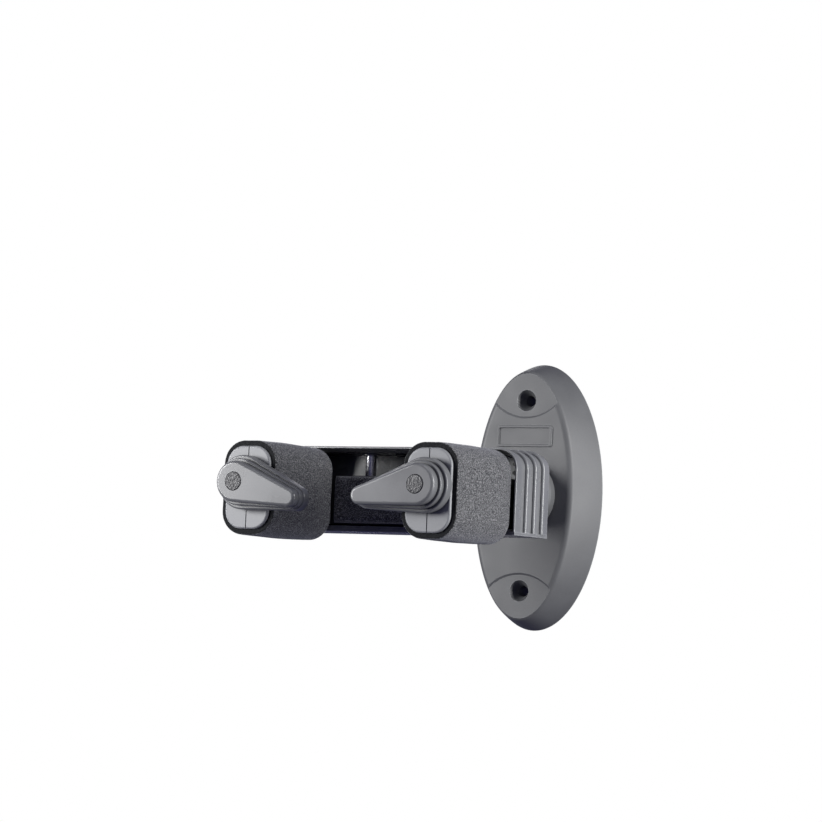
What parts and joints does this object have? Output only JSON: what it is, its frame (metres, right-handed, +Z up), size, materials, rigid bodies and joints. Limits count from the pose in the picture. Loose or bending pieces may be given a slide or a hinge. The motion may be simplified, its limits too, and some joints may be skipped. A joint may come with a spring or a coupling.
{
  "type": "wall guitar hanger",
  "caption": "Wall-mounted guitar hanger: oval plate, ribbed hood and foam-covered yoke that sinks under the guitar and swings lock levers across the slot.",
  "frame": {"origin": "centre of the wall plate's back face, where it meets the wall", "axes": "+Z up, +Y into the wall, X across the two arms"},
  "size_m": [0.0984, 0.1645, 0.105],
  "materials": {
    "plate_plastic": "fine matte moulding texture",
    "hood_plastic": "satin with rubbed rib edges",
    "lever_plastic": "satin face, glossier stepped sides",
    "plug_plastic": "stippled",
    "cap_plastic": "satin",
    "foam": "closed-cell foam with a pebbled skin",
    "core_plastic": "glass-filled nylon",
    "steel": "ground",
    "zinc_screw": "zinc plated",
    "gear_plastic": "black acetal",
    "bronze": "sintered bronze",
    "rubber": "moulded rubber"
  },
  "bodies": {
    "bracket": {"wall_plate": "plate_plastic", "stem": "plate_plastic", "stem_plate_screws": "zinc_screw", "stem_hood_screws": "zinc_screw", "hood_shell": "hood_plastic", "hood_floor": "hood_plastic", "floor_screws": "zinc_screw", "rack_screws": "zinc_screw", "stop_buffers": "rubber", "rack_left": "gear_plastic", "rack_right": "gear_plastic", "guide_rod_left": "steel", "guide_rod_right": "steel", "spring_left": "steel", "spring_right": "steel"},
    "carriage": {"yoke_crossbar": "core_plastic", "yoke_pad": "foam", "arm_screws": "zinc_screw", "guide_bush_left": "bronze", "guide_bush_right": "bronze", "arm_core_left": "core_plastic", "arm_core_right": "core_plastic", "foam_sleeve_left": "foam", "foam_sleeve_right": "foam", "end_cap_left": "cap_plastic", "end_cap_right": "cap_plastic", "front_bush_left": "bronze", "front_bush_right": "bronze", "middle_bush_left": "bronze", "middle_bush_right": "bronze", "rear_bush_left": "bronze", "rear_bush_right": "bronze", "thrust_washer_left": "gear_plastic", "thrust_washer_right": "gear_plastic"},
    "right_lever": {"lever_right": "lever_plastic", "lever_plug_right": "plug_plastic", "lever_screw_right": "zinc_screw", "shaft_right": "steel", "pinion_right": "gear_plastic", "pinion_pin_right": "steel"},
    "left_lever": {"lever_left": "lever_plastic", "lever_plug_left": "plug_plastic", "lever_screw_left": "zinc_screw", "shaft_left": "steel", "pinion_left": "gear_plastic", "pinion_pin_left": "steel"}
  },
  "joints": [
    {"name": "yoke_slide", "type": "slide", "parent": "bracket", "child": "carriage", "axis": [0, 0, 1], "range_m": [0, 0.008], "stiffness_N_per_m": 150, "springref_m": 0.02, "deforming": ["spring_left", "spring_right"]},
    {"name": "right_lever_swing", "type": "hinge", "parent": "carriage", "child": "right_lever", "pos_m": [0.0375, -0.155, -0.0044], "axis": [0, 1, 0], "range_deg": [0, 90]},
    {"name": "left_lever_swing", "type": "hinge", "parent": "carriage", "child": "left_lever", "pos_m": [-0.0375, -0.155, -0.0044], "axis": [0, 1, 0], "range_deg": [-90, 0]}
  ],
  "couplings": [
    {"joint": "right_lever_swing", "follows": "yoke_slide", "rad_per_m": 196.35},
    {"joint": "left_lever_swing", "follows": "yoke_slide", "rad_per_m": -196.35}
  ]
}
